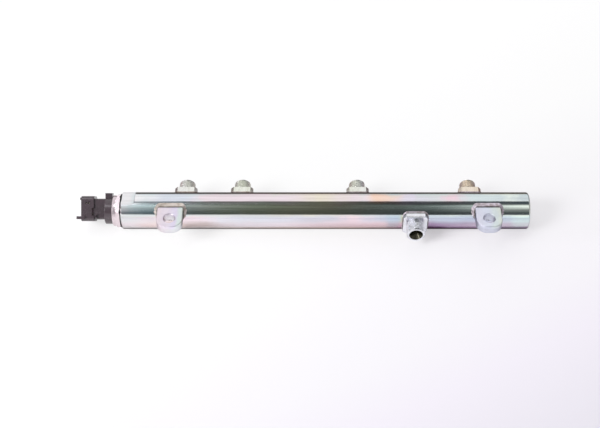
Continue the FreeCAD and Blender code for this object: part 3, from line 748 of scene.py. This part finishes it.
def make_paper():
    """White paper: matt, with a share of glow for camera, mirror and glass rays.

    For the camera the share is plain + extra * bounce. Going back from the rail's front,
    bounce first grows to the value of lit_strip at that place along the rail, and then to 1.
    """
    plain, extra, for_mirrors, mirrored_shade_share = 0.5, 0.3, 0.08, 0.07
    material, tree, place = start_material("white_paper")
    split = add(tree, "SeparateXYZ", {"Vector": place})
    slope = add(tree, "Math", {0: split.outputs["X"], 1: -0.55, 2: split.outputs["Y"]},
                operation="MULTIPLY_ADD")
    fall = add(tree, "MapRange", {"Value": slope.outputs[0], "From Min": -300.0,
                                  "From Max": 250.0})
    # The paper's colour and glow darken towards the near right: painted shade.
    glow = ramp_of(tree, fall.outputs[0], [
        (0.0, "#e1dee6"), (0.17, "#ece8f0"), (0.27, "#f0eef2"), (0.46, "#f5f4f6"),
        (0.66, "#fafafa"), (1.0, "#fefefe")])
    path = add(tree, "LightPath")
    # Mirror rays see the paper dark brown past its far edge: painted shade for the tube's top edge.
    past_end = add(tree, "MapRange", {"Value": split.outputs["Y"], "From Min": 90.0,
                                      "From Max": 130.0, "To Min": mirrored_shade_share})
    mirrored_shade = add(tree, "Math", {0: past_end.outputs[0], 1: path.outputs["Is Glossy Ray"]},
                operation="MULTIPLY")
    paper = add(tree, "Mix", {"Factor": mirrored_shade.outputs[0], 6: glow, 7: colour("#5e4846")},
                data_type="RGBA")
    matt = add(tree, "BsdfPrincipled", {"Base Color": paper.outputs[2], "Roughness": 0.8})
    lit = add(tree, "Emission", {"Color": paper.outputs[2], "Strength": 1.0})
    mirrored = add(tree, "Math", {0: path.outputs["Is Glossy Ray"],
                                  1: path.outputs["Is Transmission Ray"]}, operation="MAXIMUM")
    mirror_share = add(tree, "Math", {0: mirrored.outputs[0], 1: for_mirrors},
                       operation="MULTIPLY")
    ahead = add(tree, "MapRange", {"Value": split.outputs["Y"], "From Min": -4.0,
                                   "From Max": 10.0})
    beside = add(tree, "MapRange", {"Value": split.outputs["X"], "From Min": -180.0,
                                    "From Max": 180.0})
    lit_strip = ramp_of(tree, beside.outputs[0], [
        (0.0, "#000000"), (0.03, "#ffffff"), (0.13, "#ffffff"), (0.17, "#6a6a6a"),
        (0.23, "#8a8a8a"), (0.28, "#ffffff"), (0.7, "#ffffff"), (0.735, "#000000"),
        (0.8, "#303030"), (0.86, "#b0b0b0"), (1.0, "#d0d0d0")])
    beyond = add(tree, "MapRange", {"Value": split.outputs["Y"], "From Min": 35.0,
                                    "From Max": 60.0})
    bounce = add(tree, "Math", {0: ahead.outputs[0], 1: lit_strip}, operation="MULTIPLY")
    bounce = add(tree, "Math", {0: bounce.outputs[0], 1: beyond.outputs[0]}, operation="MAXIMUM")
    seen_share = add(tree, "Math", {0: bounce.outputs[0], 1: extra, 2: plain},
                     operation="MULTIPLY_ADD")
    share = add(tree, "Math", {0: path.outputs["Is Camera Ray"], 1: seen_share.outputs[0],
                               2: mirror_share.outputs[0]}, operation="MULTIPLY_ADD")
    both = add(tree, "MixShader", {0: share.outputs[0], 1: matt.outputs[0], 2: lit.outputs[0]})
    add(tree, "OutputMaterial", {"Surface": both.outputs[0]})
    return material


table = make_table()
table.data.materials.append(make_paper())
print("table at", round(table.data.vertices[0].co.z / MM, 2), "mm")

# %% [markdown]
# ## The room
#
# Polished metal shows what stands round it, so the room matters as much as the lamp. The
# picture was taken between a bright paper sweep behind, a low bright wall in front and a dark
# ceiling, and the tube mirrors them as its white, black and white stripes. The room is the
# world's background. Each direction has an angle round the tube's axis, from the front horizon
# over the top to the back horizon, and a distance along the tube. The ceiling is three strips
# beside one another, each a ramp along the tube: a dark one in front, a paler one overhead
# that is brightest at both ends, and a dark one behind. Patches of noise break the strips up,
# like beams and fittings. The camera itself sees plain white past the table, whatever the
# metal mirrors.

# %% Directions in the room
# round_axis is 0 at the front horizon, 0.5 overhead and 1 at the back horizon. across is the
# share of a direction that points along +X, and along stretches its middle part from 0 to 1.
world = bpy.data.worlds.new("studio")
bpy.context.scene.world = world
world.use_nodes = True
tree = world.node_tree
tree.nodes.clear()
look = add(tree, "TexCoord").outputs["Generated"]
split = add(tree, "SeparateXYZ", {"Vector": look})
front_side = add(tree, "Math", {0: split.outputs["Y"], 1: -1.0}, operation="MULTIPLY")
angle = add(tree, "Math", {0: split.outputs["Z"], 1: front_side.outputs[0]}, operation="ARCTAN2")
round_axis = add(tree, "Math", {0: angle.outputs[0], 1: math.pi}, operation="DIVIDE").outputs[0]
across = split.outputs["X"]
along = add(tree, "MapRange", {"Value": across, "From Min": -0.2, "From Max": 0.25}).outputs[0]


def blend(share, under, over):
    """Mix two colours of the room by a share."""
    return add(tree, "Mix", {"Factor": share, 6: under, 7: over}, data_type="RGBA").outputs[2]


def span_of(value, low, high):
    """Share that grows from 0 at low to 1 at high."""
    return add(tree, "MapRange", {"Value": value, "From Min": low, "From Max": high}).outputs[0]


# %% Ceiling of three strips
strip_in_front = ramp_of(tree, along, [
    (0.07, "#b4acb0"), (0.1, "#5c5f61"), (0.14, "#3f626b"), (0.22, "#443e3e"),
    (0.3, "#545a50"), (0.56, "#4c4d49"), (0.72, "#32383d"), (0.78, "#525254"),
    (0.86, "#454c52")])
strip_overhead = ramp_of(tree, along, [
    (0.07, "#f6f6f6"), (0.14, "#e0f0f4"), (0.2, "#a09e9c"), (0.26, "#9a9a91"),
    (0.34, "#738070"), (0.51, "#605e55"), (0.71, "#5e6764"), (0.85, "#eaf2f6"),
    (0.9, "#ffffff")])
strip_behind = ramp_of(tree, along, [
    (0.07, "#ececee"), (0.14, "#9ba6ab"), (0.22, "#7c7b79"), (0.34, "#5f6862"),
    (0.55, "#5a5a52"), (0.6, "#3b383a"), (0.76, "#5c5d60"), (0.86, "#4a5158")])
ceiling = blend(span_of(round_axis, 0.44, 0.5), strip_in_front, strip_behind)
overhead = ramp_of(tree, round_axis, [
    (0.19, "#000000"), (0.23, "#6a6a6a"), (0.3, "#a6a6a6"), (0.36, "#e3e3e3"),
    (0.395, "#ffffff"), (0.43, "#ffffff"), (0.485, "#000000")])
ceiling = blend(overhead, ceiling, strip_overhead)
there = add(tree, "CombineXYZ", {"X": across, "Y": round_axis})
stretched = add(tree, "Mapping", {"Vector": there.outputs[0], "Scale": (11.0, 13.0, 1.0)})
noise = add(tree, "TexNoise", {"Vector": stretched.outputs[0], "Scale": 1.0, "Detail": 2.0})
light_and_dark = ramp_of(tree, noise.outputs["Fac"], [(0.3, "#b4b4b4"), (0.7, "#ffffff")])
patch_gain = 1.35
patches = add(tree, "Mix", {"Factor": 1.0, 6: light_and_dark, 7: (patch_gain,) * 3 + (1.0,)},
              data_type="RGBA", blend_type="MULTIPLY")
ceiling = add(tree, "Mix", {"Factor": 1.0, 6: ceiling, 7: patches.outputs[2]},
              data_type="RGBA", blend_type="MULTIPLY").outputs[2]
print("ceiling of three strips")

# %% Wall, sweep and both sides
# The wall's upper edge sinks a little towards +X, and the sweep begins just behind overhead.
wall_slope = 0.027
white = ramp_of(tree, round_axis, [(0.1, "#ffffff"), (0.6, "#f8f6f8"), (0.955, "#ffffff"),
                                   (1.0, "#6c5c5e")])
wall_height = add(tree, "Math", {0: along, 1: wall_slope, 2: round_axis},
                  operation="MULTIPLY_ADD")
is_white = add(tree, "Math", {0: span_of(wall_height.outputs[0], 0.135, 0.119),
                              1: span_of(round_axis, 0.588, 0.605)}, operation="ADD").outputs[0]
stripes = blend(is_white, ceiling, white)
side_wall = blend(span_of(across, 0.45, 0.5),
                  blend(is_white, colour("#55585c"), white), colour("#b4b2b6"))
right_wall = blend(span_of(across, 0.28, 0.4), stripes, side_wall)
room = blend(span_of(across, -0.19, -0.24), right_wall, colour("#e6e4e8"))

# %% Two small bright spots
# The lamp's own image, and a strip lamp over the plug. Both are small, so they draw
# highlights on edges and hardly light the rail.
spot_gain, strip_share = 9.0, 0.8
lamp_place = np.array([-2.85, -1.75, 2.2])
lamp_way = (lamp_place / np.linalg.norm(lamp_place)).tolist()
towards_lamp = add(tree, "VectorMath", {0: look, 1: lamp_way}, operation="DOT_PRODUCT")
lamp_spot = span_of(towards_lamp.outputs["Value"], math.cos(math.radians(8)),
                    math.cos(math.radians(4)))
off_top = add(tree, "Math", {0: round_axis, 1: 0.49}, operation="SUBTRACT")
off_top = add(tree, "Math", {0: off_top.outputs[0]}, operation="ABSOLUTE")
strip_width = span_of(off_top.outputs[0], 0.06, 0.03)
strip_start = span_of(across, -0.18, -0.2)
strip_end = span_of(across, -0.32, -0.28)
strip_spot = add(tree, "Math", {0: strip_width, 1: strip_start}, operation="MULTIPLY")
strip_spot = add(tree, "Math", {0: strip_spot.outputs[0], 1: strip_end}, operation="MULTIPLY")
spots = add(tree, "Math", {0: strip_spot.outputs[0], 1: strip_share, 2: lamp_spot},
            operation="MULTIPLY_ADD")
strength = add(tree, "Math", {0: spots.outputs[0], 1: spot_gain, 2: 1.0},
               operation="MULTIPLY_ADD")
seen = add(tree, "LightPath").outputs["Is Camera Ray"]
shown = blend(seen, room, colour("#ffffff"))
level = add(tree, "Mix", {"Factor": seen, 2: strength.outputs[0], 3: 1.0}).outputs[0]
background = add(tree, "Background", {"Color": shown, "Strength": level})
add(tree, "OutputWorld", {"Surface": background.outputs[0]})
print("room of", len(tree.nodes), "nodes")

# %% [markdown]
# ## The lamp
#
# The lugs and the inlet throw soft shadows to the right and a little away from the viewer, so
# the lamp stood to the left and somewhat in front, about 33 degrees up. It stands far enough
# away to light the whole sheet evenly, and it is broad, so the shadows have soft edges. Mirror
# rays miss it, because the room already holds its image.

# %% A soft lamp on the left
def add_lamp(name, place, size, power, target):
    """Round area lamp that faces a target."""
    lamp = bpy.data.objects.new(name, bpy.data.lights.new(name, "AREA"))
    lamp.data.shape = "DISK"
    lamp.data.size = size
    lamp.data.energy = power
    lamp.location = place
    beam = np.array(target) - np.array(place)
    lamp.rotation_euler = (
        math.atan2(math.hypot(beam[0], beam[1]), -beam[2]), 0,
        math.atan2(beam[1], beam[0]) - math.pi / 2)
    lamp.visible_glossy = False
    bpy.context.collection.objects.link(lamp)
    return lamp


lamp = add_lamp("soft_lamp", tuple(lamp_place), size=1.9, power=155.0, target=(0, 0, 0))
print("lamp of", lamp.data.energy, "watts,", lamp.data.size, "m across")
